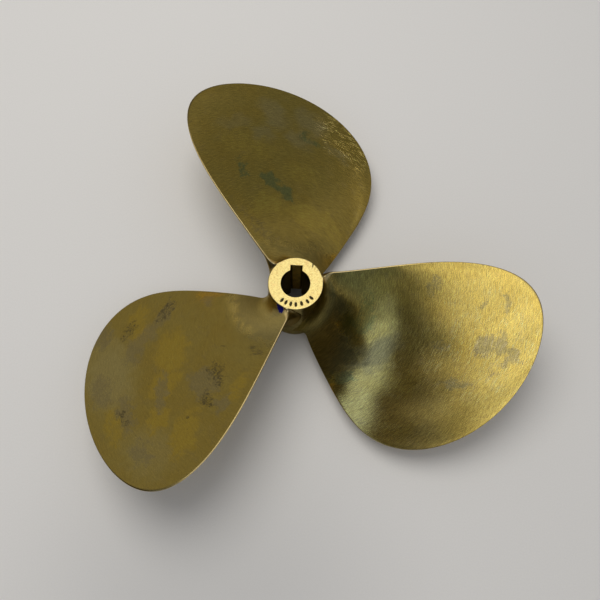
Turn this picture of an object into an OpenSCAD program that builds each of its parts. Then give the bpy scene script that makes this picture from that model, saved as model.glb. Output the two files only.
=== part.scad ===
// Three-blade fixed-pitch boat propeller, right-hand, for a tapered shaft with a key.
// The hub stands on its forward face. The origin is on the shaft axis at that face,
// +Z points aft along the shaft, and the keyway is on the +Y side of the bore.

/* [Propeller] */
// Diameter of the circle that the blade tips sweep
diameter = 330; // [310:1:350]
// Angle from +X to the reference line of the first blade
first_blade_angle = -12; // [-30:0.5:30]

/* [Hub] */
// Length of the hub along the shaft
hub_length = 55; // [53:0.5:58]
// Diameter of the forward face, which the hub stands on
hub_forward_d = 39; // [38:0.5:41]
// Diameter of the aft face, which the shaft nut bears on
hub_aft_d = 36.5; // [35:0.5:37]
// Chamfer round both ends of the hub
hub_chamfer = 0.4; // [0.3:0.1:1]

/* [Shaft bore] */
// Bore diameter at the forward face, which is the shaft diameter
bore_forward_d = 25; // [24:0.5:26]
// Length over which the bore narrows by 1 mm in diameter
taper_length = 10; // [10:1:12]
// Width of the keyway
keyway_w = 8; // [6:0.5:9]
// Depth of the keyway beyond the wall of the bore
keyway_depth = 3; // [2:0.1:3.2]

/* [Blade helix] */
// Pitch at the root of the blade
pitch_root = 186; // [180:1:200]
// Pitch at the tip of the blade
pitch_tip = 290; // [270:1:300]
// Height of the blade's reference line above the forward face, at the root
line_root_z = 39.5; // [38:0.5:41]
// Height that the reference line bends towards, half way out
line_middle_z = 48.5; // [44:0.5:52]
// Height of the reference line at the tip
line_tip_z = 47.5; // [42:0.5:52]

/* [Blade width] */
// Half width at the root circle
width_root = 20; // [17:0.5:21]
// Half width that the outline bends towards, a quarter of the way out
width_inner = 43; // [38:1:48]
// Half width that the outline bends towards, half way out
width_middle = 62; // [54:1:70]
// Half width that the outline bends towards, three quarters of the way out
width_outer = 109; // [100:1:116]
// Fullness of the rounded tip
width_tip = 119; // [105:1:130]

/* [Blade sweep] */
// Distance from the reference line to mid blade at the root circle, + towards the trailing edge
sweep_root = -5.5; // [-7:0.5:-4]
// Sweep that the middle line bends towards, a quarter of the way out
sweep_inner = -16.5; // [-20:0.5:-12]
// Sweep that the middle line bends towards, half way out
sweep_middle = -19; // [-22:0.5:-15]
// Sweep that the middle line bends towards, three quarters of the way out
sweep_outer = -43.5; // [-48:0.5:-38]
// Sweep of the tip
sweep_tip = 8; // [4:0.5:12]

/* [Blade section] */
// Radius of the circle on which the blade's root sizes are given
root_circle_r = 26; // [25:0.5:28]
// Thickness in the middle of the blade at the root
root_thickness = 10; // [8:0.5:11]
// Thickness in the middle of the blade at the tip
tip_thickness = 3; // [2.5:0.1:4]
// Thickness of the edges at the root
root_edge = 1.3; // [1:0.1:1.8]
// Thickness of the edges at the tip
tip_edge = 1; // [0.8:0.1:1.3]
// Radius of the fillet between the hub and the back of the blade
back_fillet = 12; // [10:0.5:12.5]
// Radius of the fillet between the hub and the pressure face
face_fillet = 10; // [8:0.5:11]
// Radius of both fillets at the leading edge, above the forward face
leading_fillet = 6; // [3:0.5:6.5]
// Radius of the face's fillet at the trailing edge, below the aft face
trailing_fillet = 3; // [2:0.5:4]
// How far the trailing edge draws in to meet the hub below the aft face
trailing_dip = 5; // [4.5:0.5:8]

/* [Hidden] */
blade_step = 360 / 3;
tip_r = diameter / 2;
bore_aft_d = bore_forward_d - hub_length / taper_length;
widths = [width_root, width_inner, width_middle, width_outer, width_tip];
sweeps = [sweep_root, sweep_inner, sweep_middle, sweep_outer, sweep_tip];
line_z = [line_root_z, line_middle_z, line_tip_z];
stations = 32;      // sections from the hub to the tip
across = 16;        // steps along one side of a section
blunt_tip = 0.999;  // the last section is a little short of the point
root_overlap = 1;   // how far the uncut blade reaches into the hub
dip_reach = 8;      // distance from the hub over which the trailing edge draws in
fillet_blend = 0.6; // part of the half width over which a fillet changes from edge to middle
end_play = 2;       // overrun of the cuts at each end of the hub
facing_margin = 1.5; // how far the facing cut of the aft end runs past its rim
round_steps = 128;

// A Bezier curve through the first and last of c, bent towards the others.
function bezier(c, x) =
    len(c) == 1 ? c[0]
    : bezier([for (i = [0 : len(c) - 2]) c[i] * (1 - x) + c[i + 1] * x], x);

// From 0 at the root circle to about 1 at the tip; the blade's base is slightly negative.
function along(r) = blunt_tip * (r - root_circle_r) / (tip_r - root_circle_r);

function mix(a, b, x) = a + (b - a) * x;
function hub_r(z) = mix(hub_forward_d, hub_aft_d, z / hub_length) / 2;
function half_width(x) = bezier(widths, x) * sqrt(1 - x * x);
function pitch_angle(x, r) = atan(mix(pitch_root, pitch_tip, x) / (2 * PI * r));

// How far a fillet of radius f stands out, at distance d from the hub.
function flare(d, f) = let (e = max(f - max(d, 0), 0)) f - sqrt(f * f - e * e);

// Fillet radius at u, which runs from -1 at the leading edge to +1 at the trailing edge.
function fillet(u, back) =
    let (
        middle = back == 1 ? back_fillet : face_fillet,
        edge = u < 0 ? leading_fillet : back == 1 ? back_fillet : trailing_fillet
    )
    mix(edge, middle, min(1, (1 - abs(u)) / fillet_blend));

// Blade thickness at u: flat pressure face, arched back.
function thickness(x, u) =
    let (
        edge = mix(root_edge, tip_edge, x),
        middle = mix(root_thickness, tip_thickness, x)
    )
    edge + (middle - edge) * (1 - u * u);

// Distance from mid blade to the edge on the side of u, along the section.
function reach(x, r, d, u) =
    half_width(x) / cos(pitch_angle(x, r)) + flare(d, fillet(sign(u), 0))
    - (u > 0 ? trailing_dip * pow(max(1 - d / dip_reach, 0), 2) : 0);

// A point of the section at radius r: u places it across the blade, and back is 0 on the
// pressure face, which looks aft, and 1 on the back.
function section_point(r, u, back) =
    let (
        x = along(r),
        d = r - hub_r(hub_length / 2),
        b = pitch_angle(x, r),
        c = u * reach(x, r, d, u),
        v = back * -thickness(x, u) + (1 - 2 * back) * flare(d, fillet(u, back)),
        arc = bezier(sweeps, x) + c * cos(b) - v * sin(b),
        z = bezier(line_z, x) + bezier(sweeps, x) * tan(b) + c * sin(b) + v * cos(b),
        seat = hub_r(z) - hub_r(hub_length / 2),
        rr = r + seat * (1 - x) * max(1 - d / root_circle_r, 0),
        a = arc / r * 180 / PI
    )
    [rr * cos(a), rr * sin(a), z];

// Steps crowd together near both ends of t, where the shape changes fastest.
function crowded(t) = t * t * (3 - 2 * t);

// The uncut blade: a skin over the sections, closed at the hub and at the tip.
module blade_blank() {
    inner_r = hub_r(hub_length / 2);
    radii = concat(
        [inner_r - root_overlap],
        [for (i = [0 : stations]) inner_r + (tip_r - inner_r) * crowded(i / stations)]
    );
    sides = 2 * across + 2;
    points = [
        for (r = radii, back = [0, 1], i = [0 : across])
            section_point(r, (back == 0 ? 1 : -1) * cos(180 * i / across), back)
    ];
    skin = [
        for (k = [0 : len(radii) - 2], i = [0 : sides - 1])
            let (j = (i + 1) % sides, p = k * sides, q = p + sides)
            each [[p + i, p + j, q + j], [p + i, q + j, q + i]]
    ];
    base = [for (i = [0 : sides - 1]) sides - 1 - i];
    tip = [for (i = [0 : sides - 1]) (len(radii) - 1) * sides + i];
    polyhedron(points, concat(skin, [base, tip]), convexity = 6);
}

// The outside of the hub, before it is bored.
module hub_blank() {
    rotate_extrude($fn = round_steps)
        polygon([
            [0, 0],
            [hub_forward_d / 2 - hub_chamfer, 0],
            [hub_r(hub_chamfer), hub_chamfer],
            [hub_r(hub_length - hub_chamfer), hub_length - hub_chamfer],
            [hub_aft_d / 2 - hub_chamfer, hub_length],
            [0, hub_length]
        ]);
}

// The cut that fits a blade to the hub, and faces its root level with the aft end.
module hub_seat() {
    translate([0, 0, -end_play])
        cylinder(
            h = hub_length + 2 * end_play,
            r1 = hub_r(-end_play),
            r2 = hub_r(hub_length + end_play),
            $fn = round_steps
        );
    translate([0, 0, hub_length])
        cylinder(h = 2 * end_play, r = hub_aft_d / 2 + facing_margin, $fn = round_steps);
}

// The tapered hole for the shaft, wide end forward.
module shaft_bore() {
    overrun_d = end_play / taper_length;
    translate([0, 0, -end_play])
        cylinder(
            h = hub_length + 2 * end_play,
            d1 = bore_forward_d + overrun_d,
            d2 = bore_aft_d - overrun_d,
            $fn = round_steps
        );
}

// The keyway, whose bottom follows the taper of the bore.
module keyway() {
    rotate([90, 0, 90])
        linear_extrude(keyway_w, center = true)
            polygon([
                [0, -end_play],
                [bore_forward_d / 2 + keyway_depth, -end_play],
                [bore_aft_d / 2 + keyway_depth, hub_length + end_play],
                [0, hub_length + end_play]
            ]);
}

module hub() {
    color("goldenrod")
        difference() {
            hub_blank();
            shaft_bore();
            keyway();
        }
}

module blade(number) {
    color("darkgoldenrod")
        difference() {
            rotate(first_blade_angle + (number - 1) * blade_step)
                blade_blank();
            hub_seat();
        }
}

module blade_1() {
    blade(1);
}

module blade_2() {
    blade(2);
}

module blade_3() {
    blade(3);
}

hub();
blade_1();
blade_2();
blade_3();
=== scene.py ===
import math

import bmesh
import bpy
import numpy as np
from mathutils import Matrix, Vector


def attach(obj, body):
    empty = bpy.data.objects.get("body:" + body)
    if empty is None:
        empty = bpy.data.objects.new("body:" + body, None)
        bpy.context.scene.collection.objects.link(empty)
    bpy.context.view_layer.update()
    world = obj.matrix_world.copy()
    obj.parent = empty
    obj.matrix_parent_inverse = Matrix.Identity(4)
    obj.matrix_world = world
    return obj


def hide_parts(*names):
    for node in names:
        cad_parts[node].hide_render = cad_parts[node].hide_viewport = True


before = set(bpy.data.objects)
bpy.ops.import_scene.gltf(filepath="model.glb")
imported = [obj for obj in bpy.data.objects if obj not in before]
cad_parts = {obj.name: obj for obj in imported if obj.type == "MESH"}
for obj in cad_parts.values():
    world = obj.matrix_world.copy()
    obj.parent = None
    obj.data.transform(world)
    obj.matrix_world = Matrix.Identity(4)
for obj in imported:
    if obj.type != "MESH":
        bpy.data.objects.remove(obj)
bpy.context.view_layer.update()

MM = 0.001

# ---------------------------------------------------------------- sizes, as in part.scad, in mm

TIP_R = 165.0
FIRST_BLADE_ANGLE = -12.0
BLADE_STEP = 120.0

HUB_LENGTH = 55.0
HUB_FORWARD_R = 19.5
HUB_AFT_R = 18.25
HUB_CHAMFER = 0.4
BORE_FORWARD_R = 12.5
BORE_AFT_R = 9.75
KEYWAY_W = 8.0
KEYWAY_DEPTH = 3.0

# Pitch, thickness and edge are given at the root and at the tip. The other three lists bend a
# curve from the root to the tip.
PITCH = (186.0, 290.0)
LINE_Z = (39.5, 48.5, 47.5)
WIDTHS = (20.0, 43.0, 62.0, 109.0, 119.0)
SWEEPS = (-5.5, -16.5, -19.0, -43.5, 8.0)
ROOT_R = 26.0
THICKNESS = (10.0, 3.0)
EDGE = (1.3, 1.0)
BACK_FILLET = 12.0
FACE_FILLET = 10.0
LEADING_FILLET = 6.0
TRAILING_FILLET = 3.0
TRAILING_DIP = 5.0
DIP_REACH = 8.0
FILLET_BLEND = 0.6
ROOT_OVERLAP = 1.0
FACING_MARGIN = 1.5

# ---------------------------------------------------------------- sizes of its own, in mm and degrees

# The root stops just short of the hub's aft face, and climbs past the facing cut at this slope.
FACED_BELOW = 0.05
FACED_SLOPE = 1.5
# Power of the curve that rounds the blade's edges, and the part of the end fillets it takes in.
ROUND_POWER = 2.6
END_ROUNDING = 0.8
# Height of the hand-finished waves on the face and the back, then their number, shortest and
# longest length.
FACE_UNEVEN = 0.11
BACK_UNEVEN = 0.14
HAND_WAVES = (7, 28, 70)
# How far apart the patterns of the face and the back are, and the inset given to hidden points.
BACK_SHIFT = 40.0
DEEP = 9.0
# A highlight is painted along the trailing edge from the root, and it ends between these radii.
EDGE_HIGHLIGHT_ENDS = {1: (60, 95), 2: (115, 150), 3: (130, 160)}

# Chamfer of the bore and the keyway at both faces of the hub.
BORE_CHAMFER = 0.12
# Oval punch marks on the aft face: angles, the circle they lie on and how far they stray from it,
# half length and half width, depth, and height of the burr round each.
PUNCH_MARKS = (236, 248, 261, 274, 289, 305.5, 319)
PUNCH_R = 14.6
PUNCH_OUT_OF_LINE = 0.2
PUNCH_HALF_LENGTH = 1.7
PUNCH_HALF_WIDTH = 0.88
PUNCH_DEPTH = 0.45
PUNCH_BURR = 0.04
# Nicks in the rim of the aft face: angle, half width and depth, then the slant in degrees for
# each mm outwards from the radius where the angle is given, and the radii between which they deepen.
NICKS = ((48.5, 0.3, 0.34), (41.5, 0.25, 0.12), (32.5, 0.25, 0.1))
NICK_SLANT = 2.2
NICK_ANGLE_R = 16
NICK_DEEPENS = (14.6, 17.9)
# Height of the waves that handling and casting left, with their number, shortest and longest
# length, and of the ripple down the barrel. On the barrel both fade out this far from its ends,
# and the waves are laid out as if it had one radius.
AFT_FACE_UNEVEN = 0.012
AFT_FACE_WAVES = (9, 3, 12)
BARREL_UNEVEN = 0.025
BARREL_WAVES = (8, 6, 22)
BARREL_RIPPLE = 0.02
BARREL_RIPPLE_RATE = 3.9
BARREL_FADE = 1.5
BARREL_R = 18
# Edges of the hub that turn more than this, in degrees, stay sharp.
SHARP_ANGLE = 38

# How fine the meshes are. The tip zone is the last part of the blade's length, and has closer rings.
STEPS_ACROSS_BLADE = 110
ROOT_RINGS = 24
RING_STEP = 1.15
TIP_RINGS = 41
TIP_ZONE = 0.06
BASE_RUNGS = 8
BORE_STEPS = 440
KEYWAY_SIDE_STEPS = 18
KEYWAY_FLOOR_STEPS = 28
AFT_FACE_LOOPS = 38
RIM_LOOPS = 5
BARREL_LOOPS = 91
FORWARD_FACE_LOOPS = 15
BORE_LOOPS = 36

# Seeds of the random waves. The first two pairs are for blades, and each blade adds to them.
HAND_SEEDS = (0, 50)
STAIN_SEEDS = (400, 410)
AFT_FACE_SEED = 77
BARREL_SEED = 79

# ---------------------------------------------------------------- small helpers


def bezier(c, x):
    """A curve through the first and last of c, bent towards the others."""
    points = [np.full_like(x, v) for v in c]
    while len(points) > 1:
        points = [a * (1 - x) + b * x for a, b in zip(points, points[1:])]
    return points[0]


def mix(pair, x):
    return pair[0] + (pair[1] - pair[0]) * x


def smooth(a, b, x):
    """From 0 at a to 1 at b, level at both."""
    t = np.clip((x - a) / (b - a), 0, 1)
    return t * t * (3 - 2 * t)


def evenly_from(low, high, count):
    """Evenly spaced values that start at low and stop one step short of high."""
    return np.linspace(low, high, count + 1)[:-1]


def evenly_to(low, high, count):
    """Evenly spaced values that start one step past low and end at high."""
    return np.linspace(low, high, count + 1)[1:]


def turn_from(a, at):
    """Degrees from the angle at to the angle a, the short way round."""
    return (a - at + 180) % 360 - 180


def waves(p, q, seed, count, shortest, longest):
    """A gentle uneven surface: a sum of sine waves over two coordinates, between -1 and 1 or so."""
    rng = np.random.default_rng(seed)
    total = np.zeros(np.broadcast(p, q).shape)
    for _ in range(count):
        length = rng.uniform(shortest, longest)
        turn, phase = rng.uniform(0, 2 * math.pi, 2)
        along_wave = p * math.cos(turn) + q * math.sin(turn)
        total += np.sin(2 * math.pi / length * along_wave + phase)
    return total / math.sqrt(count)


def quads(index):
    """The faces between neighbours in a grid of point numbers."""
    corners = [index[:-1, :-1], index[1:, :-1], index[1:, 1:], index[:-1, 1:]]
    return np.stack(corners, -1).reshape(-1, 4).tolist()


def mesh_object(name, points, faces, attributes=()):
    """A smooth mesh from points in mm, with one value or vector for each point in each attribute."""
    mesh = bpy.data.meshes.new(name)
    mesh.from_pydata((points * MM).tolist(), [], faces)
    for key, values in dict(attributes).items():
        kind, field = ("FLOAT_VECTOR", "vector") if values.ndim == 2 else ("FLOAT", "value")
        layer = mesh.attributes.new(key, kind, "POINT")
        layer.data.foreach_set(field, values.astype(np.float32).ravel())
    mesh.validate()
    mesh.shade_smooth()
    made = bpy.data.objects.new(name, mesh)
    bpy.context.scene.collection.objects.link(made)
    return made


def face_outwards(made):
    """Turns every face of a closed mesh outwards."""
    bm = bmesh.new()
    bm.from_mesh(made.data)
    bmesh.ops.recalc_face_normals(bm, faces=bm.faces)
    bm.to_mesh(made.data)
    bm.free()
    made.data.shade_smooth()


# ---------------------------------------------------------------- blades


def hub_r(z):
    return mix((HUB_FORWARD_R, HUB_AFT_R), z / HUB_LENGTH)


MID_HUB_R = hub_r(HUB_LENGTH / 2)
FACED_R = HUB_AFT_R + FACING_MARGIN


def flare(d, f):
    """How far a fillet of radius f stands out, at distance d from the hub."""
    e = np.maximum(f - np.maximum(d, 0), 0)
    return f - np.sqrt(np.maximum(f * f - e * e, 0))


def fillet(u, back):
    """Fillet radius at u, which runs from -1 at the leading edge to 1 at the trailing edge."""
    middle = BACK_FILLET if back else FACE_FILLET
    edge = np.where(u < 0, LEADING_FILLET, BACK_FILLET if back else TRAILING_FILLET)
    return mix((edge, middle), np.minimum(1, (1 - np.abs(u)) / FILLET_BLEND))


def along(r):
    """From 0 at the root circle to 1 at the tip."""
    return (r - ROOT_R) / (TIP_R - ROOT_R)


def pitch_angle(r):
    return np.arctan(mix(PITCH, along(r)) / (2 * math.pi * r))


def reach(r, side):
    """Distance from mid blade to an edge: the leading one for side -1, the trailing one for 1."""
    x, d = along(r), r - MID_HUB_R
    width = bezier(WIDTHS, x) * np.sqrt(np.maximum(1 - x * x, 0)) / np.cos(pitch_angle(r))
    if side < 0:
        return width + flare(d, LEADING_FILLET)
    dip = TRAILING_DIP * np.maximum(1 - d / DIP_REACH, 0) ** 2
    return width + flare(d, TRAILING_FILLET) - dip


def on_section(r, c, v):
    """The point at c along and v across the section at radius r, and its distance round the arc."""
    x, d = along(r), r - MID_HUB_R
    slope, far_glow = pitch_angle(r), bezier(SWEEPS, x)
    arc = far_glow + c * np.cos(slope) - v * np.sin(slope)
    z = bezier(LINE_Z, x) + far_glow * np.tan(slope) + c * np.sin(slope) + v * np.cos(slope)
    seat = (hub_r(z) - MID_HUB_R) * (1 - x) * np.maximum(1 - d / ROOT_R, 0)
    faced = HUB_LENGTH - FACED_BELOW + FACED_SLOPE * np.maximum(r + seat - FACED_R, 0)
    a = arc / r
    point = [(r + seat) * np.cos(a), (r + seat) * np.sin(a), np.minimum(z, faced)]
    return np.stack(point, -1), arc


def rounded(inside, radius):
    """Height of a blunt round edge, 0 at the edge and 1 from the given distance inwards."""
    return (1 - np.clip(1 - inside / radius, 0, 1) ** ROUND_POWER) ** (1 / ROUND_POWER)


def distance_inside(r, u, c):
    """About how far a point of the section lies from the nearest part of the outline."""
    step = 0.05
    r_in = r - step
    half = np.where(u > 0, reach(r, 1), reach(r, -1))
    half_in = np.where(u > 0, reach(r_in, 1), reach(r_in, -1))
    rate = (half - half_in) / step
    sweep_change = bezier(SWEEPS, along(r)) - bezier(SWEEPS, along(r_in))
    sweep_rate = sweep_change / step / np.cos(pitch_angle(r))
    steepness = np.sqrt(c * c + (half * rate - c * sweep_rate) ** 2)
    return (half * half - c * c) / (2 * steepness + 1e-9)


def section(r, u, seed):
    """Both sides of the blade at radius r: positions along and across the section, edges rounded."""
    x, d = along(r), r - MID_HUB_R
    c = np.where(u > 0, u * reach(r, 1), u * reach(r, -1))
    edge, middle = mix(EDGE, x), mix(THICKNESS, x)
    thick = edge + (middle - edge) * (1 - u * u)
    face = flare(d, fillet(u, False))
    back = -thick - flare(d, fillet(u, True))
    inside = distance_inside(r, u, c)

    centre = face - edge / 2
    face = centre + edge / 2 * rounded(inside, edge / 2)
    end_depth = np.where(u > 0, flare(d, BACK_FILLET), flare(d, LEADING_FILLET))
    back = centre - (centre - back) * rounded(inside, edge / 2 + END_ROUNDING * end_depth)
    # The waves fade out towards the hub and towards the edges.
    hand = smooth(0, 30, d) * smooth(0, 6, inside)
    face = face + FACE_UNEVEN * hand * waves(c, r, seed + HAND_SEEDS[0], *HAND_WAVES)
    back = back + BACK_UNEVEN * hand * waves(c, r, seed + HAND_SEEDS[1], *HAND_WAVES)
    return c, face, back, inside


def blade_radii():
    """Radii of the rings: close together in the fillets and at the tip."""
    turn = np.radians(np.linspace(90, 0, ROOT_RINGS))
    root = MID_HUB_R + BACK_FILLET * (1 - np.sin(turn))
    tip_zone = TIP_ZONE * (TIP_R - ROOT_R)
    body = np.arange(root[-1] + RING_STEP, TIP_R - tip_zone, RING_STEP)
    tip = TIP_R - tip_zone * (1 - evenly_from(0, 1, TIP_RINGS)) ** 2
    return np.concatenate([[MID_HUB_R - ROOT_OVERLAP], root, body, tip])


def both_sides(face, back):
    """Rings from a grid of the face and one of the back: out along the face, home along the back."""
    return np.concatenate([face, back[:, -2:0:-1]], 1)


def blade_faces(index, apex, base):
    """The skin between the rings, the fan at the tip, and the closed end inside the hub."""
    skin = quads(np.c_[index, index[:, 0]].T)
    around = index.shape[1]
    tip_fan = [[index[-1, i], index[-1, (i + 1) % around], apex] for i in range(around)]
    cap = np.vstack([
        index[0, 1:STEPS_ACROSS_BLADE],
        base,
        index[0, STEPS_ACROSS_BLADE + 1:][::-1],
    ])
    ends = [
        [index[0, corner], cap[k, column], cap[k + 1, column]]
        for corner, column in ((0, 0), (STEPS_ACROSS_BLADE, -1))
        for k in range(BASE_RUNGS)
    ]
    triangles = np.array(tip_fan + ends).tolist()
    return skin + triangles + quads(cap)


def blade(number):
    radii = blade_radii()
    across = np.cos(np.pi * np.arange(STEPS_ACROSS_BLADE + 1) / STEPS_ACROSS_BLADE)
    r, u = np.meshgrid(radii, across, indexing="ij")
    c, face, back, inside = section(r, u, 10 * number)
    face_points, face_arc = on_section(r, c, face)
    back_points, back_arc = on_section(r, c, back)
    rings = both_sides(face_points, back_points)
    index = np.arange(rings[..., 0].size).reshape(rings.shape[:2])

    tip_r = np.array([TIP_R])
    apex, apex_arc = on_section(tip_r, np.zeros(1), -0.5 * np.array([EDGE[1]]))

    share = evenly_from(0, 1, BASE_RUNGS)[1:, None]
    base_v = face[0, 1:-1] + (back[0, 1:-1] - face[0, 1:-1]) * share
    base_r = np.full(base_v.shape, radii[0])
    base, base_arc = on_section(base_r, np.broadcast_to(c[0, 1:-1], base_v.shape), base_v)
    base_index = index.size + 1 + np.arange(base_v.size).reshape(base_v.shape)

    def everywhere(on_rings, at_apex, on_base):
        """One value for every point, in the order of the mesh."""
        return np.concatenate([on_rings.ravel(), [at_apex], np.broadcast_to(on_base, base_v.size)])

    side = both_sides(np.ones_like(r), np.zeros_like(r))
    side[:, [0, STEPS_ACROSS_BLADE]] = 0.5
    side = everywhere(side, 0.5, 0.0)
    arc = everywhere(both_sides(face_arc, back_arc), apex_arc[0], base_arc.ravel())
    radius = everywhere(both_sides(r, r), TIP_R, radii[0])
    # Where the painted highlight lies: along the trailing edge, fading out between the given radii.
    trailing = smooth(0.2, 0.6, u) * (1 - smooth(*EDGE_HIGHLIGHT_ENDS[number], r))
    attributes = {
        "blade_place": np.stack([arc, radius, BACK_SHIFT * side], -1),
        "inset": everywhere(both_sides(inside, inside), 0.0, DEEP),
        "side": side,
        "edge_highlight": everywhere(both_sides(trailing, trailing), 0.0, 0.0),
    }
    for kind, amount in stains(number, arc, radius).items():
        attributes[kind] = amount * side

    turn = math.radians(FIRST_BLADE_ANGLE + (number - 1) * BLADE_STEP)
    cos_turn, sin_turn = math.cos(turn), math.sin(turn)
    spin = np.array([[cos_turn, sin_turn, 0], [-sin_turn, cos_turn, 0], [0, 0, 1]])
    points = np.vstack([rings.reshape(-1, 3), apex, base.reshape(-1, 3)]) @ spin
    faces = blade_faces(index, index.size, base_index)
    made = mesh_object(f"bronze_blade_{number}", points, faces, attributes)
    face_outwards(made)
    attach(made, "root")
    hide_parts(f"blade_{number}")
    return made


# Stains on the pressure faces: arc and radius of the middle, half length, half width, turn in
# degrees, and strength.
STAINS = {
    1: {
        "film": [
            (-26, 70, 15, 10, 15, 0.8),
        ],
        "grey": [
            (-5, 131, 8, 6, 0, 1.0), (-2, 140, 6, 6, 0, 1.0), (-6, 149, 9, 3.2, 129, 1.0),
            (20, 124, 4, 3, 0, 0.8), (24, 140, 5, 3, 0, 0.8), (-34, 122, 12, 3, 70, 0.8),
            (-12, 103, 8, 3.5, 80, 0.6), (24, 92, 9, 3.5, 30, 0.6), (-10, 149, 8, 3, 30, 0.9),
        ],
        "green": [
            (-5, 50, 14, 7, 0, 0.9), (-52, 60, 10, 7, 60, 1.3),
        ],
        "ochre": [
            (-40, 95, 14, 10, 0, 0.6), (-10, 118, 10, 8, 0, 0.5), (-75, 115, 12, 8, 0, 0.6),
        ],
        "dark": [
            (-22, 142, 4, 2, 60, 0.7),
        ],
    },
    2: {
        "green": [
            (-11, 75, 9, 5, 50, 1.0), (-4, 83, 9, 5, 45, 1.0), (14, 95, 9, 4.5, 80, 0.7),
            (-42, 120, 9, 5, 0, 0.6),
        ],
        "film": [
            (-45, 135, 13, 10, 20, 0.9), (-20, 138, 13, 10, 70, 0.9), (-8, 122, 9, 7, 0, 0.8),
            (10, 132, 12, 6, 0, 0.5), (-34, 120, 10, 8, 0, 0.9),
        ],
        "grey": [
            (-62, 118, 12, 5, 10, 0.6),
        ],
        "dark": [
            (14, 52, 9, 5, 70, 0.8), (8, 40, 8, 5, 30, 0.7), (22, 62, 8, 4, 60, 0.7),
        ],
        "ochre": [
            (-40, 62, 12, 9, 0, 0.8), (4, 66, 13, 9, 0, 1.0), (-28, 92, 16, 8, 0, 0.6),
            (6, 112, 22, 10, 20, 0.6), (-22, 60, 12, 9, 0, 1.0),
        ],
    },
    3: {
        "ochre": [
            (-30, 92, 15, 13, 0, 1.0), (-14, 106, 9, 13, 0, 1.0), (-56, 108, 8, 10, 40, 1.0),
            (2, 124, 11, 6, 60, 1.0), (-72, 110, 10, 8, 0, 0.8), (22, 120, 18, 8, 60, 0.9),
            (24, 78, 12, 5, 60, 0.7), (-16, 148, 16, 6, 20, 0.7),
        ],
        "grey": [
            (-50, 115, 11, 8, 20, 1.0), (-60, 92, 9, 6, 30, 0.9), (-54, 104, 9, 7, 60, 1.0),
            (-75, 135, 8, 7, 0, 0.9), (-55, 60, 12, 6, 0, 1.2), (-15, 138, 13, 6, 20, 0.9),
            (12, 146, 10, 7, 0, 0.9), (5, 88, 13, 10, 40, 1.0), (-10, 112, 15, 4, 45, 1.0),
            (25, 92, 8, 3.5, 60, 0.9), (-40, 145, 12, 8, 0, 0.8),
        ],
        "film": [
            (-46, 136, 26, 18, 0, 0.9), (14, 142, 18, 16, 0, 0.5),
        ],
        "dark": [
            (-15, 140, 7, 4, 0, 1.0), (7, 78, 10, 6, 30, 1.0), (17, 95, 8, 4, 20, 1.0),
            (13, 110, 1.3, 1.3, 0, 1.0), (-22, 112, 1.3, 1.3, 0, 1.0), (-5, 60, 1.3, 1.3, 0, 1.0),
            (-66, 118, 8, 4, 60, 1.0), (-62, 91, 8, 5, 30, 1.0), (14, 52, 5, 3, 0, 0.9),
            (2, 140, 2, 1.2, 0, 1.0),
        ],
    },
}
STAIN_KINDS = ("film", "grey", "green", "ochre", "dark")
STAIN_WANDER = 1.8
STAIN_WAVES = (8, 6, 20)


def stains(number, arc, r):
    """How much of each kind of stain every point has; the edges of the patches wander."""
    arc = arc + STAIN_WANDER * waves(arc, r, STAIN_SEEDS[0] + number, *STAIN_WAVES)
    r = r + STAIN_WANDER * waves(arc, r, STAIN_SEEDS[1] + number, *STAIN_WAVES)
    made = {kind: np.zeros_like(arc) for kind in STAIN_KINDS}
    for kind, patches in STAINS[number].items():
        for middle_arc, middle_r, half_length, half_width, turn, strength in patches:
            t = math.radians(turn)
            p, q = arc - middle_arc, r - middle_r
            lengthwise = (p * math.cos(t) + q * math.sin(t)) / half_length
            crosswise = (q * math.cos(t) - p * math.sin(t)) / half_width
            # Full strength out to half the patch's size, and none past 1.35 of it.
            amount = strength * (1 - smooth(0.5, 1.35, np.hypot(lengthwise, crosswise)))
            made[kind] = np.maximum(made[kind], amount)
    return made


# ---------------------------------------------------------------- hub


def bore_outline(bore_r, grow=0.0):
    """Bore and keyway, anticlockwise from the keyway's left corner; grow opens it for a chamfer."""
    half, bottom = KEYWAY_W / 2 + grow, bore_r + KEYWAY_DEPTH + grow
    bore_r = bore_r + grow
    corner = math.asin(half / bore_r)
    shoulder = math.sqrt(bore_r ** 2 - half ** 2)
    arc = evenly_from(math.pi / 2 + corner, math.pi * 5 / 2 - corner, BORE_STEPS)
    side = (bottom - shoulder) * evenly_from(0, 1, KEYWAY_SIDE_STEPS)
    floor_x = half - 2 * half * evenly_from(0, 1, KEYWAY_FLOOR_STEPS)
    parts = [
        (bore_r * np.cos(arc), bore_r * np.sin(arc)),
        (np.full_like(side, half), shoulder + side),
        (floor_x, np.full_like(floor_x, bottom)),
        (np.full_like(side, -half), bottom - side),
    ]
    return np.concatenate([np.stack(part, -1) for part in parts])


def rim_directions():
    """One direction for each point of the bore outline, evenly turned behind the keyway."""
    corner = math.asin(KEYWAY_W / 2 / BORE_AFT_R)
    keyway_steps = 2 * KEYWAY_SIDE_STEPS + KEYWAY_FLOOR_STEPS
    arc = evenly_from(math.pi / 2 + corner, math.pi * 5 / 2 - corner, BORE_STEPS)
    behind = evenly_from(math.pi / 2 - corner, math.pi / 2 + corner, keyway_steps)
    a = np.concatenate([arc, behind])
    return np.stack([np.cos(a), np.sin(a)], -1)


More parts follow.
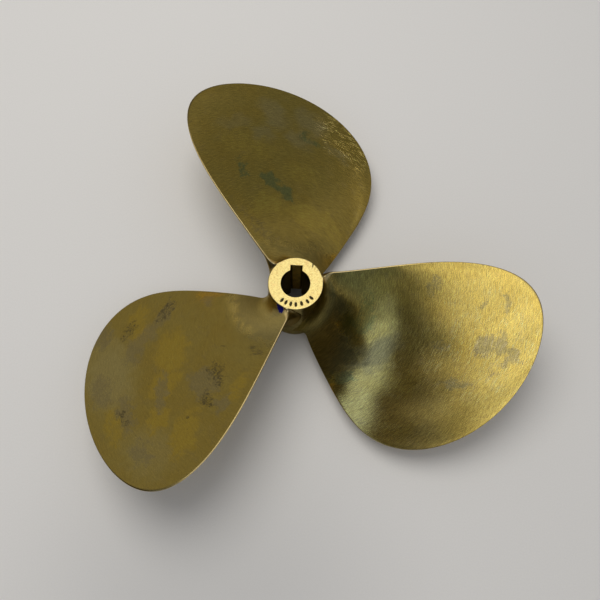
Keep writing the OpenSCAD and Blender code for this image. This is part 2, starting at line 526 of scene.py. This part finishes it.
def aft_face_marks(x, y):
    """How far the aft face is pressed in by punch marks, nicks in the rim and handling."""
    r, a = np.hypot(x, y), np.degrees(np.arctan2(y, x)) % 360
    drop = np.zeros_like(r)
    for k, at in enumerate(PUNCH_MARKS):
        lengthwise = (r - PUNCH_R - PUNCH_OUT_OF_LINE * math.sin(3.0 * k)) / PUNCH_HALF_LENGTH
        crosswise = np.radians(turn_from(a, at)) * r / PUNCH_HALF_WIDTH
        # The rim of a mark is at 1: its floor is flat out to 0.6, and its burr is highest at 1.25.
        far = np.hypot(lengthwise, crosswise)
        burr = PUNCH_BURR * np.exp(-((far - 1.25) / 0.2) ** 2)
        drop += PUNCH_DEPTH * (1 - smooth(0.6, 1.0, far)) - burr
    for at, half_width, depth in NICKS:
        slant = NICK_SLANT * (r - NICK_ANGLE_R)
        crosswise = np.radians(turn_from(a - slant, at)) * r
        drop += depth * np.exp(-(crosswise / half_width) ** 2) * smooth(*NICK_DEEPENS, r)
    return drop + AFT_FACE_UNEVEN * waves(x, y, AFT_FACE_SEED, *AFT_FACE_WAVES)


def loop_at(points, z):
    """A closed loop of points, all at height z or each at its own."""
    return np.c_[points, np.broadcast_to(z, len(points))]


def aft_face_loops(out):
    bore = bore_outline(BORE_AFT_R, BORE_CHAMFER)
    rim = out * (HUB_AFT_R - HUB_CHAMFER)
    loops = []
    for t in np.linspace(0, 1, AFT_FACE_LOOPS):
        p = bore * (1 - t) + rim * t
        loops.append(loop_at(p, HUB_LENGTH - aft_face_marks(p[:, 0], p[:, 1])))
    return loops


def aft_rim_loops(out, pressed):
    """The rounded rim of the aft face; pressed is what the marks do to its height at the face."""
    loops = []
    for t in evenly_to(0, 1, RIM_LOOPS):
        bend = math.radians(90 * t)
        radius = HUB_AFT_R - HUB_CHAMFER * (1 - math.sin(bend))
        z = HUB_LENGTH - HUB_CHAMFER * (1 - math.cos(bend))
        loops.append(loop_at(out * radius, z + pressed * (1 - t) ** 2))
    return loops


def barrel_loops(out):
    """The outside of the hub, as uneven as a casting, but even at both ends and at its seam."""
    bearing = np.arctan2(out[:, 1], out[:, 0])
    seam = 0.5 + 0.5 * np.cos(bearing)
    loops = []
    for z in evenly_to(HUB_LENGTH - HUB_CHAMFER, HUB_CHAMFER, BARREL_LOOPS):
        height = np.full_like(bearing, z)
        uneven = waves(bearing * BARREL_R, height, BARREL_SEED, *BARREL_WAVES)
        rough = BARREL_UNEVEN * uneven + BARREL_RIPPLE * math.sin(z * BARREL_RIPPLE_RATE)
        ends = smooth(0, BARREL_FADE, z) * smooth(0, BARREL_FADE, HUB_LENGTH - z)
        loops.append(loop_at(out * hub_r(z) + out * (rough * ends * seam)[:, None], z))
    return loops


def forward_loops(out):
    """The rounded rim of the forward face, and the face itself, in to the bore."""
    bore = bore_outline(BORE_FORWARD_R, BORE_CHAMFER)
    loops = []
    for t in evenly_to(0, 1, RIM_LOOPS):
        bend = math.radians(90 * t)
        radius = HUB_FORWARD_R - HUB_CHAMFER * (1 - math.cos(bend))
        loops.append(loop_at(out * radius, HUB_CHAMFER * (1 - math.sin(bend))))
    rim = out * (HUB_FORWARD_R - HUB_CHAMFER)
    for t in evenly_to(0, 1, FORWARD_FACE_LOOPS):
        loops.append(loop_at(bore * t + rim * (1 - t), 0))
    return loops


def bore_loops():
    return [
        loop_at(bore_outline(mix((BORE_FORWARD_R, BORE_AFT_R), z / HUB_LENGTH)), z)
        for z in np.linspace(BORE_CHAMFER, HUB_LENGTH - BORE_CHAMFER, BORE_LOOPS)
    ]


def hub():
    """One skin: over the aft face, down the outside, and back up through the bore."""
    out = rim_directions()
    loops = aft_face_loops(out)
    loops += aft_rim_loops(out, loops[-1][:, 2] - HUB_LENGTH)
    loops += barrel_loops(out) + forward_loops(out) + bore_loops()
    points = np.array(loops)
    index = np.arange(points[..., 0].size).reshape(points.shape[:2])
    faces = quads(np.pad(index, (0, 1), mode="wrap"))
    made = mesh_object("bronze_hub", points.reshape(-1, 3), faces)
    face_outwards(made)
    made.data.set_sharp_from_angle(angle=math.radians(SHARP_ANGLE))
    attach(made, "root")
    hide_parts("hub")
    return made


# ---------------------------------------------------------------- materials


class Nodes:
    """Short names for building a node tree."""

    def __init__(self, owner):
        owner.use_nodes = True
        self.tree = owner.node_tree
        self.tree.nodes.clear()

    def add(self, kind, inputs=None, **settings):
        node = self.tree.nodes.new(kind)
        for key, value in settings.items():
            setattr(node, key, value)
        for key, value in (inputs or {}).items():
            self.put(node.inputs[key], value)
        return node

    def put(self, socket, value):
        if isinstance(value, bpy.types.NodeSocket):
            self.tree.links.new(value, socket)
        else:
            socket.default_value = value

    def math(self, kind, a, b=0.0):
        return self.add("ShaderNodeMath", {0: a, 1: b}, operation=kind).outputs[0]

    def times(self, a, b):
        return self.math("MULTIPLY", a, b)

    def plus(self, a, b):
        return self.math("ADD", a, b)

    def one_minus(self, a):
        return self.math("SUBTRACT", 1.0, a)

    def length(self, a, b):
        return self.math("SQRT", self.plus(self.times(a, a), self.times(b, b)))

    def ramp(self, value, low, high, to_low=0.0, to_high=1.0):
        node = self.add(
            "ShaderNodeMapRange",
            {0: value, 1: low, 2: high, 3: to_low, 4: to_high},
            interpolation_type="SMOOTHSTEP",
        )
        return node.outputs[0]

    def blend(self, amount, a, b, kind="MIX"):
        node = self.add("ShaderNodeMix", data_type="RGBA", blend_type=kind)
        self.put(node.inputs[0], amount)
        self.put(node.inputs[6], a)
        self.put(node.inputs[7], b)
        return node.outputs[2]

    def level(self, amount, a, b):
        node = self.add("ShaderNodeMix", data_type="FLOAT")
        self.put(node.inputs[0], amount)
        self.put(node.inputs[2], a)
        self.put(node.inputs[3], b)
        return node.outputs[0]

    def noise(self, where, scale, detail, rough, distortion=0.0):
        settings = {"Scale": scale, "Detail": detail, "Roughness": rough, "Distortion": distortion}
        return self.add("ShaderNodeTexNoise", {"Vector": where, **settings}).outputs[0]

    def attribute(self, name, output="Fac"):
        return self.add("ShaderNodeAttribute", attribute_name=name).outputs[output]

    def mapped(self, where, kind="POINT", turn=0.0, scale=(1, 1, 1), shift=(0, 0, 0)):
        node = self.add(
            "ShaderNodeMapping",
            {"Vector": where, "Rotation": (0, 0, turn), "Scale": scale, "Location": shift},
            vector_type=kind,
        )
        return node.outputs[0]

    def object_place(self):
        return self.add("ShaderNodeTexCoord").outputs["Object"]

    def object_mm(self):
        return self.mapped(self.object_place(), scale=(1 / MM, 1 / MM, 1 / MM))

    def distance(self, where, middle):
        node = self.add("ShaderNodeVectorMath", {0: where, 1: middle}, operation="DISTANCE")
        return node.outputs["Value"]

    def brushed(self, where, turn, length, width):
        """Fine parallel lines: noise drawn out along one direction."""
        lay = self.mapped(where, "TEXTURE", math.radians(turn), (length, width, 1.0))
        return self.noise(lay, 1.0, 3.0, 0.6)

    def scratched(self, where, turn, length, width, limit):
        """Sparse single scratches, 1 on a scratch; fewer for a higher limit."""
        return self.ramp(self.brushed(where, turn, length, width), limit, limit + 0.07)


def rgb(r, g, b):
    return (r, g, b, 1.0)


BRONZE = rgb(0.80, 0.60, 0.145)
BRONZE_DEEP = rgb(0.78, 0.56, 0.12)
BRONZE_BROWN = rgb(0.66, 0.50, 0.17)
BRONZE_EDGE_ON = rgb(0.78, 0.66, 0.40)
EDGE_DULL = rgb(0.26, 0.20, 0.085)
EDGE_HIGHLIGHT = rgb(0.95, 0.75, 0.34)
BACK_SKIN_AND_SHADE = rgb(0.20, 0.15, 0.06)
PIT_DIRT = rgb(0.2, 0.15, 0.07)
FACED = rgb(1.0, 0.84, 0.34)
FACED_SPECK = rgb(0.80, 0.58, 0.19)
FACED_WARM = rgb(0.95, 0.68, 0.27)
FACED_SCAR = rgb(0.55, 0.40, 0.15)
PRESSED_DIRT = rgb(0.09, 0.07, 0.04)
BARREL = rgb(0.38, 0.34, 0.18)
BARREL_DARK = rgb(0.24, 0.215, 0.12)
BORE_SHADE = rgb(0.06, 0.045, 0.02)
KEYWAY_BRIGHT = rgb(0.75, 0.52, 0.14)
PAINT_BLUE = rgb(0.001, 0.002, 0.11)

# Each blade was finished by hand, so each has its own values from here to the stains' looks.
# Roughness of the clean metal, from the brightest to the dullest patches.
POLISH = {1: (0.055, 0.09), 2: (0.10, 0.15), 3: (0.10, 0.15)}
# Direction of the brushed lines, in degrees from the arc, and how strongly they show.
BRUSH_TURN = {1: -3, 2: -2, 3: 12}
GRAIN_DEPTH = {1: 0.30, 2: 0.19, 3: 0.10}
# Scratches: how much brighter they are, how few there are, and the middle (arc and radius) and
# the size of the patch that has most of them.
SCRATCH_GLINT = {1: 0.65, 2: 0.30, 3: 0.18}
SCRATCH_LIMIT = {1: 0.58, 2: 0.595, 3: 0.60}
SCRATCHED_AT = {1: (-4, 132, 60), 2: (-70, 129, 29), 3: (-24, 98, 14)}

# Dull casting skin near the hub, darkened further as painted shade: its colour, the radii
# between which it ends, how much further out it goes along the leading edge, and how much less
# far along the trailing edge.
ROOT_SKIN_AND_SHADE = {
    1: (rgb(0.115, 0.102, 0.038), 30, 46, 24.0, 12.0),
    2: (rgb(0.33, 0.26, 0.085), 30, 46, 6.0, 0.0),
    3: (rgb(0.37, 0.30, 0.12), 37, 54, 0.0, 0.0),
}
ROOT_SKIN_AND_SHADE_COVER = 0.9

# Colour, roughness and strongest cover of each kind of stain.
STAIN_LOOKS = {
    1: {
        "film": (rgb(0.36, 0.30, 0.13), 0.16, 0.75),
        "green": (rgb(0.40, 0.43, 0.13), 0.14, 0.65),
        "ochre": (rgb(0.88, 0.60, 0.10), 0.12, 0.6),
        "grey": (rgb(0.50, 0.41, 0.15), 0.18, 0.9),
        "dark": (rgb(0.40, 0.32, 0.14), 0.25, 0.8),
    },
    2: {
        "film": (rgb(0.80, 0.68, 0.33), 0.16, 0.55),
        "ochre": (rgb(1.0, 0.73, 0.15), 0.13, 0.75),
        "green": (rgb(0.38, 0.43, 0.17), 0.18, 0.85),
        "grey": (rgb(0.78, 0.65, 0.29), 0.18, 0.6),
        "dark": (rgb(0.58, 0.45, 0.17), 0.22, 0.8),
    },
    3: {
        "film": (rgb(0.95, 0.80, 0.33), 0.15, 0.6),
        "ochre": (rgb(0.98, 0.685, 0.11), 0.12, 0.9),
        "grey": (rgb(0.66, 0.53, 0.23), 0.18, 0.75),
        "dark": (rgb(0.30, 0.235, 0.10), 0.25, 0.9),
    },
}

# Roughness of what isn't clean metal.
ROOT_SKIN_ROUGH = 0.36
EDGE_HIGHLIGHT_ROUGH = 0.30
BACK_ROUGH = 0.32
PAINT_ROUGH = 0.5
BARREL_ROUGH = 0.26
FACED_ROUGH = 0.30

# Depth of the brushed lines in metres.
BLADE_BUMP = 0.00002
HUB_BUMP = 0.00006

# The blue dab: its angle round the shaft, distance from the axis, height and reach.
DAB_ANGLE = 240
DAB_R = 20.0
DAB_Z = 52.0
DAB_REACH = (4.2, 4.6)


def blue_dab(n, place):
    """A touch of blue marking paint beside the aft end of the hub."""
    t = math.radians(DAB_ANGLE)
    away = n.distance(place, (DAB_R * math.cos(t), DAB_R * math.sin(t), DAB_Z))
    ragged = n.noise(place, 0.9, 2.0, 0.5)
    return n.ramp(n.plus(away, n.times(ragged, 1.8)), *DAB_REACH, 1.0, 0.0)


def finish_bronze(n, colour, rough, paint, height, bump):
    """The shader of a bronze surface; paint is 1 where the blue dab covers it."""
    relief = n.add("ShaderNodeBump", {"Height": height, "Strength": 1.0, "Distance": bump})
    shader = n.add(
        "ShaderNodeBsdfPrincipled",
        {
            "Base Color": n.blend(paint, colour, PAINT_BLUE),
            "Roughness": rough,
            "Metallic": n.one_minus(paint),
            "Specular IOR Level": 0.15,
            "Specular Tint": BRONZE_EDGE_ON,
            "Normal": relief.outputs[0],
        },
    )
    n.add("ShaderNodeOutputMaterial", {"Surface": shader.outputs[0]})


def stained(n, number, place, speck, colour, rough):
    """Adds the stains. A film is even, the others are ragged, and dark ones follow winding lines."""
    ragged = n.ramp(n.noise(place, 0.3, 5.0, 0.7, 0.8), 0.3, 0.7, -0.35, 0.35)
    specked = n.ramp(speck, 0.35, 0.65, -0.2, 0.2)
    winding = n.math("SUBTRACT", n.noise(place, 0.22, 3.0, 0.6, 0.5), 0.5)
    squiggle = n.ramp(n.math("ABSOLUTE", winding), 0.012, 0.04, 1.0, 0.0)
    for kind, (tint, tint_rough, most) in STAIN_LOOKS[number].items():
        amount = n.attribute(kind)
        if kind == "film":
            mask = n.times(amount, most)
        else:
            if kind == "dark":
                amount = n.times(amount, n.level(squiggle, 0.4, 1.0))
            some = n.ramp(amount, 0.0, 0.3)
            broken = n.plus(n.plus(amount, n.times(ragged, some)), n.times(specked, some))
            mask = n.ramp(broken, 0.05, 1.0, 0.0, most)
        colour = n.blend(mask, colour, tint)
        rough = n.level(mask, rough, tint_rough)
    return colour, rough


def skin_and_shade_at_root(n, number, arc, r, mottle, colour, rough):
    """Adds the dull casting skin near the hub, darkened further as painted shade."""
    root_colour, root_dark_start, root_dark_end, leading_spread, trailing_gap = ROOT_SKIN_AND_SHADE[number]
    reached = n.plus(r, n.ramp(mottle, 0.3, 0.7, -4.0, 4.0))
    reached = n.plus(reached, n.ramp(arc, -33, -10, -leading_spread, 0.0))
    reached = n.plus(reached, n.ramp(arc, -4, 10, 0.0, trailing_gap))
    # Painted shade as well as dull skin: the root is darkened out to these radii.
    root_dark = n.ramp(reached, root_dark_start, root_dark_end, 1.0, 0.0)
    return n.blend(n.times(root_dark, ROOT_SKIN_AND_SHADE_COVER), colour, root_colour), n.level(root_dark, rough, ROOT_SKIN_ROUGH)


def blade_scratches(n, number, place, arc, r):
    """Single scratches in two directions, most of them in one worn patch; 1 on a scratch."""
    worn_arc, worn_r, worn_size = SCRATCHED_AT[number]
    away = n.length(n.math("SUBTRACT", arc, worn_arc), n.math("SUBTRACT", r, worn_r))
    patchy = n.ramp(n.noise(place, 0.06, 3.0, 0.5), 0.36, 0.54, 0.45, 1.0)
    worn = n.times(patchy, n.ramp(away, 0.4 * worn_size, worn_size, 1.0, 0.06))
    turn, limit = BRUSH_TURN[number], SCRATCH_LIMIT[number]
    along_grain = n.scratched(place, turn + 2, 14.0, 0.32, limit)
    over_grain = n.scratched(place, turn + 24, 11.0, 0.32, limit + 0.01)
    return n.times(n.math("MAXIMUM", along_grain, over_grain), worn)


def brushed_shade(n, number, grain, cross, fine, speck, marks):
    """What the brushed lines and the scratches do to the colour, as a factor for each channel."""
    depth = GRAIN_DEPTH[number]
    glint = n.ramp(marks, 0.0, 1.0, 1.0, 1 + SCRATCH_GLINT[number])
    lines = n.ramp(grain, 0.3, 0.7, 1 - depth, 1 + depth)
    lines = n.times(lines, n.ramp(cross, 0.35, 0.7, 1 - 0.6 * depth, 1 + 0.6 * depth))
    lines = n.times(lines, n.ramp(fine, 0.3, 0.7, 1 + 0.8 * depth, 1 - 0.8 * depth))
    lines = n.times(lines, n.ramp(speck, 0.3, 0.75, 1.05, 0.93))
    lines = n.times(lines, glint)
    paler = n.times(lines, glint)
    return n.add("ShaderNodeCombineXYZ", {0: lines, 1: lines, 2: paler}).outputs[0]


def edges_and_back(n, r, colour, rough):
    """Adds the dull outline, a painted highlight along the trailing edge, and the duller, darker
    back.
    """
    inset, edge_highlight = n.attribute("inset"), n.attribute("edge_highlight")
    near_rim = n.math("DIVIDE", inset, n.ramp(r, 20, 27, 5.0, 1.0))
    # Painted highlight: a bright colour along the rim of the trailing edge.
    highlight_mask = n.times(n.ramp(near_rim, 0.2, 0.7, 1.0, 0.0), edge_highlight)
    dull = n.times(n.ramp(inset, 0.25, 0.8, 1.0, 0.0), n.one_minus(edge_highlight))
    colour = n.blend(n.times(dull, 0.75), colour, EDGE_DULL)
    colour = n.blend(highlight_mask, colour, EDGE_HIGHLIGHT)
    rough = n.level(highlight_mask, rough, EDGE_HIGHLIGHT_ROUGH)
    behind = n.one_minus(n.attribute("side"))
    # The back is darkened, most near the hub: a duller skin and painted shade under the blades.
    colour = n.blend(n.times(behind, n.ramp(r, 50, 120, 0.9, 0.4)), colour, BACK_SKIN_AND_SHADE)
    return colour, n.level(behind, rough, BACK_ROUGH)


def blade_bronze(number):
    material = bpy.data.materials.new(f"blade_bronze_{number}")
    n = Nodes(material)
    spot = n.attribute("blade_place", "Vector")
    place = n.mapped(spot, shift=(37.0 * number, 0, 0))
    arc, r = n.add("ShaderNodeSeparateXYZ", {0: spot}).outputs[:2]

    cloud = n.noise(place, 0.035, 5.0, 0.6)
    mottle = n.noise(place, 0.16, 5.0, 0.65, 0.6)
    speck = n.noise(place, 0.9, 3.0, 0.6)
    colour = n.blend(n.ramp(cloud, 0.35, 0.68), BRONZE, BRONZE_DEEP)
    colour = n.blend(n.ramp(mottle, 0.50, 0.75, 0.0, 0.45), colour, BRONZE_BROWN)
    rough = n.level(n.ramp(cloud, 0.3, 0.7), *POLISH[number])
    rough = n.plus(rough, n.ramp(mottle, 0.45, 0.7, 0.0, 0.05))
    colour, rough = stained(n, number, place, speck, colour, rough)
    colour, rough = skin_and_shade_at_root(n, number, arc, r, mottle, colour, rough)

    grain = n.brushed(place, BRUSH_TURN[number], 5.5, 0.42)
    cross = n.brushed(place, BRUSH_TURN[number] + 30, 4.5, 0.4)
    fine = n.noise(place, 1.9, 2.0, 0.6)
    marks = blade_scratches(n, number, place, arc, r)
    shade = brushed_shade(n, number, grain, cross, fine, speck, marks)
    colour = n.blend(1.0, colour, shade, "MULTIPLY")
    colour, rough = edges_and_back(n, r, colour, rough)

    cells = n.add("ShaderNodeTexVoronoi", {"Vector": place, "Scale": 0.22, "Randomness": 1.0})
    in_pit = n.ramp(cells.outputs["Distance"], 0.03, 0.10, 1.0, 0.0)
    pit = n.times(in_pit, n.ramp(mottle, 0.52, 0.6))
    colour = n.blend(n.times(pit, 0.7), colour, PIT_DIRT)
    height = n.plus(n.plus(grain, n.times(cross, 0.6)), n.times(fine, 0.5))
    height = n.math("SUBTRACT", height, n.times(n.plus(pit, marks), 0.8))

    paint = blue_dab(n, n.object_mm())
    rough = n.level(paint, rough, PAINT_ROUGH)
    finish_bronze(n, colour, rough, paint, height, BLADE_BUMP)
    return material


def hub_bronze():
    material = bpy.data.materials.new("hub_bronze_machined")
    n = Nodes(material)
    place = n.object_mm()
    x, y, z = n.add("ShaderNodeSeparateXYZ", {0: place}).outputs
    r = n.length(x, y)
    faced = n.ramp(z, HUB_LENGTH - 0.62, HUB_LENGTH - 0.5)
    pressed = n.times(n.ramp(z, HUB_LENGTH - 0.08, HUB_LENGTH - 0.2), faced)
    # Painted shade inside the bore: its walls, below the aft face and above the forward face, get a
    # dark colour.
    below_face = n.ramp(z, HUB_LENGTH - 0.25, HUB_LENGTH - 0.15, 1.0, 0.0)
    bore_shade = n.times(n.ramp(r, 15.6, 15.9, 1.0, 0.0), below_face)
    bore_shade = n.times(bore_shade, n.ramp(z, 0.02, 0.1))

    mottle = n.noise(place, 0.22, 5.0, 0.6)
    speck = n.noise(place, 1.3, 4.0, 0.65)
    barrel = n.blend(n.ramp(mottle, 0.35, 0.7), BARREL, BARREL_DARK)
    bright = n.blend(n.ramp(speck, 0.45, 0.68, 0.0, 0.9), FACED, FACED_SPECK)
    bright = n.blend(n.ramp(mottle, 0.5, 0.75, 0.0, 0.7), bright, FACED_WARM)
    scars = n.math(
        "MAXIMUM",
        n.scratched(place, 25, 3.5, 0.35, 0.57),
        n.scratched(place, -60, 3.0, 0.35, 0.59),
    )
    bright = n.blend(n.times(scars, 0.75), bright, FACED_SCAR)
    colour = n.blend(faced, barrel, bright)
    colour = n.blend(n.times(pressed, 0.92), colour, PRESSED_DIRT)
    # The keyway floor keeps a bronze colour within the painted shade of the bore.
    strip = n.times(n.ramp(n.math("ABSOLUTE", x), 2.2, 3.2, 1.0, 0.0), n.ramp(y, 9.5, 11.0))
    strip = n.times(strip, n.ramp(mottle, 0.3, 0.6, 0.5, 1.0))
    colour = n.blend(bore_shade, colour, n.blend(strip, BORE_SHADE, KEYWAY_BRIGHT))
    rough = n.level(faced, BARREL_ROUGH, FACED_ROUGH)

    height = n.plus(n.brushed(place, 20, 5.0, 0.5), n.times(speck, 0.7))
    height = n.plus(height, n.times(n.brushed(place, -65, 3.5, 0.45), 0.6))
    finish_bronze(n, colour, rough, blue_dab(n, place), height, HUB_BUMP)
    return material


# ---------------------------------------------------------------- stage, in metres

FLOOR_HALF = 4.0
FLOOR_STEPS = 40
PAPER = rgb(0.80, 0.785, 0.755)
PAPER_FIBRE = rgb(0.78, 0.765, 0.735)
PAPER_SHADED = rgb(0.44, 0.44, 0.44)
SHADED_AT = (-0.04, -0.21, 0)
FAR_GLOW_COLOUR = rgb(1.0, 0.985, 0.96)


def floor_paper():
    """Pale paper with a painted soft shadow in front of the propeller, and a painted glow that makes
    it brighter far away.
    """
    material = bpy.data.materials.new("floor_paper")
    n = Nodes(material)
    place = n.object_place()
    fibres = n.noise(place, 900, 3.0, 0.6)
    colour = n.blend(n.ramp(fibres, 0.3, 0.7), PAPER, PAPER_FIBRE)
    shade = n.ramp(n.distance(place, SHADED_AT), 0.02, 0.17, 0.35, 0.0)
    # Painted light: the paper glows, more from 0.45 m out to 2.2 m, so the far floor is brighter.
    far_glow = n.ramp(n.distance(place, (0, 0, 0)), 0.45, 2.2, 0.0, 0.30)
    shader = n.add(
        "ShaderNodeBsdfPrincipled",
        {
            "Base Color": n.blend(shade, colour, PAPER_SHADED),
            "Roughness": 0.8,
            "Emission Color": FAR_GLOW_COLOUR,
            "Emission Strength": far_glow,
        },
    )
    n.add("ShaderNodeOutputMaterial", {"Surface": shader.outputs[0]})
    return material


def floor():
    side = np.linspace(-FLOOR_HALF, FLOOR_HALF, FLOOR_STEPS + 1) / MM
    x, y = np.meshgrid(side, side, indexing="ij")
    index = np.arange(x.size).reshape(x.shape)
    made = mesh_object("floor", np.stack([x, y, 0 * x], -1).reshape(-1, 3), quads(index))
    made.data.materials.append(floor_paper())


# Soft patches of the studio that the bronze reflects: angle off the zenith, azimuth, inner and outer
# size in degrees, and colour. A later patch covers an earlier one. The list began as a fit to the
# bronze's colours in the photo: the room's own colour and those of the first four patches are still
# the fit's, and the rest was changed or added.
ROOM_COLOUR = (0.179, 0.173, 0.168)
ROOM = [
    (70, 197, 30, 42, (0.041, 0.038, 0.028)),
    (68, 234, 12, 22, (0.017, 0.019, 0.011)),
    (57, 284, 12, 32, (0.099, 0.125, 0.176)),
    (16, 258, 7, 12, (0.004, 0.008, 0.020)),
    (29, 256, 3, 9, (0.150, 0.160, 0.175)),
    (44, 262, 4, 11, (0.135, 0.165, 0.210)),
    (38, 246, 6, 9, (0.200, 0.245, 0.360)),
    (37, 229, 6, 9, (0.380, 0.485, 0.800)),
    (37, 209, 6, 8, (0.420, 0.540, 0.980)),
    (24, 236, 3, 10, (0.140, 0.142, 0.190)),
    (30, 218, 3, 6, (0.080, 0.075, 0.080)),
    (30, 233, 3, 6, (0.070, 0.068, 0.070)),
    (31, 247, 3, 6, (0.070, 0.073, 0.075)),
    (33, 261, 3, 5, (0.110, 0.120, 0.130)),
    (27, 290, 4, 11, (0.400, 0.410, 0.440)),
    (10, 32, 12, 34, (1.150, 1.150, 1.230)),
    (20, 92, 10, 18, (1.320, 1.270, 1.180)),
    (50, 46, 3, 25, (0.112, 0.114, 0.110)),
]
# What lights the matt surfaces from all round, and what the camera sees behind the floor.
AMBIENT = rgb(0.35, 0.355, 0.37)
BACKDROP = rgb(0.60, 0.59, 0.575)


def direction(off_zenith, azimuth):
    t, a = math.radians(off_zenith), math.radians(azimuth)
    return (math.sin(t) * math.cos(a), math.sin(t) * math.sin(a), math.cos(t))


def light_room():
    world = bpy.data.worlds.new("studio")
    bpy.context.scene.world = world
    n = Nodes(world)
    ray = n.add("ShaderNodeTexCoord").outputs["Generated"]
    colour = rgb(*ROOM_COLOUR)
    for off_zenith, azimuth, bore_shade, outer, tint in ROOM:
        middle = direction(off_zenith, azimuth)
        closeness = n.add("ShaderNodeVectorMath", {0: ray, 1: middle}, operation="DOT_PRODUCT")
        starts, full = math.cos(math.radians(outer)), math.cos(math.radians(bore_shade))
        colour = n.blend(n.ramp(closeness.outputs["Value"], starts, full), colour, rgb(*tint))
    path = n.add("ShaderNodeLightPath").outputs
    colour = n.blend(path["Is Diffuse Ray"], colour, AMBIENT)
    colour = n.blend(path["Is Camera Ray"], colour, BACKDROP)
    background = n.add("ShaderNodeBackground", {"Color": colour, "Strength": 1.0})
    n.add("ShaderNodeOutputWorld", {"Surface": background.outputs[0]})


# The softbox, in metres and watts. The bronze doesn't mirror it, because ROOM holds its reflection.
SOFTBOX_AT = (-0.25, 0.35, 1.1)
SOFTBOX_SIZE = 0.9
SOFTBOX_POWER = 6.4
SOFTBOX_COLOUR = (1.0, 0.97, 0.92)


def softbox():
    light = bpy.data.lights.new("softbox", "AREA")
    light.shape = "DISK"
    light.size = SOFTBOX_SIZE
    light.energy = SOFTBOX_POWER
    light.color = SOFTBOX_COLOUR
    made = bpy.data.objects.new("softbox", light)
    made.location = SOFTBOX_AT
    made.rotation_mode = "QUATERNION"
    made.rotation_quaternion = (-Vector(SOFTBOX_AT)).to_track_quat("-Z", "Y")
    made.visible_glossy = False
    bpy.context.scene.collection.objects.link(made)


# The camera, in mm: it looks down at the aft face from the -Y side.
CAMERA_AT = (6.42, -162.25, 507.73)
CAMERA_FORWARD = (-0.00587, 0.31605, -0.94872)
CAMERA_UP = (-0.05786, 0.94704, 0.31585)
CAMERA_LENS = 43.75
CAMERA_SENSOR = 36.0


def camera():
    view = bpy.data.cameras.new("camera")
    view.sensor_width = CAMERA_SENSOR
    view.lens = CAMERA_LENS
    view.clip_start = 0.01
    view.clip_end = 20
    made = bpy.data.objects.new("camera", view)
    forward = Vector(CAMERA_FORWARD).normalized()
    right = forward.cross(Vector(CAMERA_UP)).normalized()
    turn = Matrix((right, right.cross(forward), -forward)).transposed()
    made.matrix_world = Matrix.Translation(Vector(CAMERA_AT) * MM) @ turn.to_4x4()
    bpy.context.scene.collection.objects.link(made)
    bpy.context.scene.camera = made


# ---------------------------------------------------------------- build

for number in (1, 2, 3):
    blade(number).data.materials.append(blade_bronze(number))
hub().data.materials.append(hub_bronze())

floor()
light_room()
softbox()
camera()
bpy.context.scene.view_settings.view_transform = "Standard"
